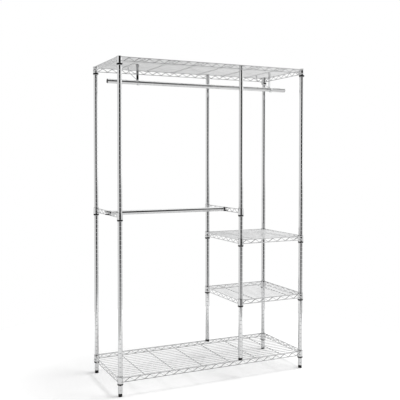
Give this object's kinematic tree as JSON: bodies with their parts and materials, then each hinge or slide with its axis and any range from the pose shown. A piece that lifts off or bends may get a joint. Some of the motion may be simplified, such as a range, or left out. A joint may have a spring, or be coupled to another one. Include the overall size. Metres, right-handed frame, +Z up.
{
  "type": "open frame wardrobe",
  "caption": "Free-standing open wardrobe of chrome wire shelves on grooved posts, with an upper and a lower hanging rail and a side bay of small shelves.",
  "frame": {"origin": "on the floor, midway between the four corner posts", "axes": "+X to the right as seen from the front, +Y to the back, +Z up"},
  "size_m": [1.2104, 0.4608, 1.8392],
  "materials": {
    "chrome": "bright chrome plating",
    "black_plastic": "moulded black plastic, satin",
    "grey_plastic": "moulded grey plastic, satin",
    "zinc_steel": "zinc-plated steel"
  },
  "bodies": {
    "frame": {"post_front_left": "chrome", "post_front_right": "chrome", "post_back_left": "chrome", "post_back_right": "chrome", "post_middle_front": "chrome", "post_middle_back": "chrome", "post_cap_front_left": "grey_plastic", "post_cap_front_right": "grey_plastic", "post_cap_back_left": "grey_plastic", "post_cap_back_right": "grey_plastic", "post_thread_inserts": "zinc_steel", "post_foot_middle_front": "black_plastic", "post_foot_middle_back": "black_plastic", "post_top_plug_middle_front": "black_plastic", "post_top_plug_middle_back": "black_plastic", "top_shelf": "chrome", "top_shelf_sleeve_front_left": "black_plastic", "top_shelf_sleeve_front_right": "black_plastic", "top_shelf_sleeve_back_left": "black_plastic", "top_shelf_sleeve_back_right": "black_plastic", "bottom_shelf": "chrome", "bottom_shelf_sleeve_front_left": "black_plastic", "bottom_shelf_sleeve_front_right": "black_plastic", "bottom_shelf_sleeve_back_left": "black_plastic", "bottom_shelf_sleeve_back_right": "black_plastic", "rail_hook_left": "chrome", "rail_hook_right": "chrome", "hook_brace_left": "chrome", "hook_brace_right": "chrome"},
    "upper_small_shelf": {"upper_small_shelf": "chrome", "upper_small_shelf_sleeve_middle_front": "black_plastic", "upper_small_shelf_sleeve_middle_back": "black_plastic", "upper_small_shelf_sleeve_front_right": "black_plastic", "upper_small_shelf_sleeve_back_right": "black_plastic"},
    "lower_small_shelf": {"lower_small_shelf": "chrome", "lower_small_shelf_sleeve_middle_front": "black_plastic", "lower_small_shelf_sleeve_middle_back": "black_plastic", "lower_small_shelf_sleeve_front_right": "black_plastic", "lower_small_shelf_sleeve_back_right": "black_plastic"},
    "lower_rail": {"lower_rail": "chrome", "lower_rail_fork_left": "black_plastic", "lower_rail_fork_right": "black_plastic", "left_side_frame": "chrome", "middle_side_frame": "chrome", "left_side_frame_sleeve_front_left": "black_plastic", "left_side_frame_sleeve_back_left": "black_plastic", "middle_side_frame_sleeve_middle_front": "black_plastic", "middle_side_frame_sleeve_middle_back": "black_plastic"},
    "upper_rail": {"upper_rail": "chrome", "upper_rail_cap_left": "black_plastic", "upper_rail_cap_right": "black_plastic"},
    "foot_front_left": {"foot_front_left": "black_plastic", "foot_stud_front_left": "zinc_steel"},
    "foot_front_right": {"foot_front_right": "black_plastic", "foot_stud_front_right": "zinc_steel"},
    "foot_back_left": {"foot_back_left": "black_plastic", "foot_stud_back_left": "zinc_steel"},
    "foot_back_right": {"foot_back_right": "black_plastic", "foot_stud_back_right": "zinc_steel"}
  },
  "joints": [
    {"name": "upper_small_shelf_height", "type": "slide", "parent": "frame", "child": "upper_small_shelf", "axis": [0, 0, 1], "range_m": [-0.127, 0.0762]},
    {"name": "lower_small_shelf_height", "type": "slide", "parent": "frame", "child": "lower_small_shelf", "axis": [0, 0, 1], "range_m": [-0.254, 0.1524]},
    {"name": "lower_rail_height", "type": "slide", "parent": "frame", "child": "lower_rail", "axis": [0, 0, 1], "range_m": [-0.0508, 0.508]},
    {"name": "upper_rail_shift", "type": "slide", "parent": "frame", "child": "upper_rail", "axis": [1, 0, 0], "range_m": [-0.08, 0.16]},
    {"name": "foot_front_left_turn", "type": "hinge", "parent": "frame", "child": "foot_front_left", "pos_m": [-0.587, -0.21225, 0], "axis": [0, 0, 1], "range_deg": [0, 1800]},
    {"name": "foot_front_right_turn", "type": "hinge", "parent": "frame", "child": "foot_front_right", "pos_m": [0.587, -0.21225, 0], "axis": [0, 0, 1], "range_deg": [0, 1800]},
    {"name": "foot_back_left_turn", "type": "hinge", "parent": "frame", "child": "foot_back_left", "pos_m": [-0.587, 0.21225, 0], "axis": [0, 0, 1], "range_deg": [0, 1800]},
    {"name": "foot_back_right_turn", "type": "hinge", "parent": "frame", "child": "foot_back_right", "pos_m": [0.587, 0.21225, 0], "axis": [0, 0, 1], "range_deg": [0, 1800]}
  ]
}
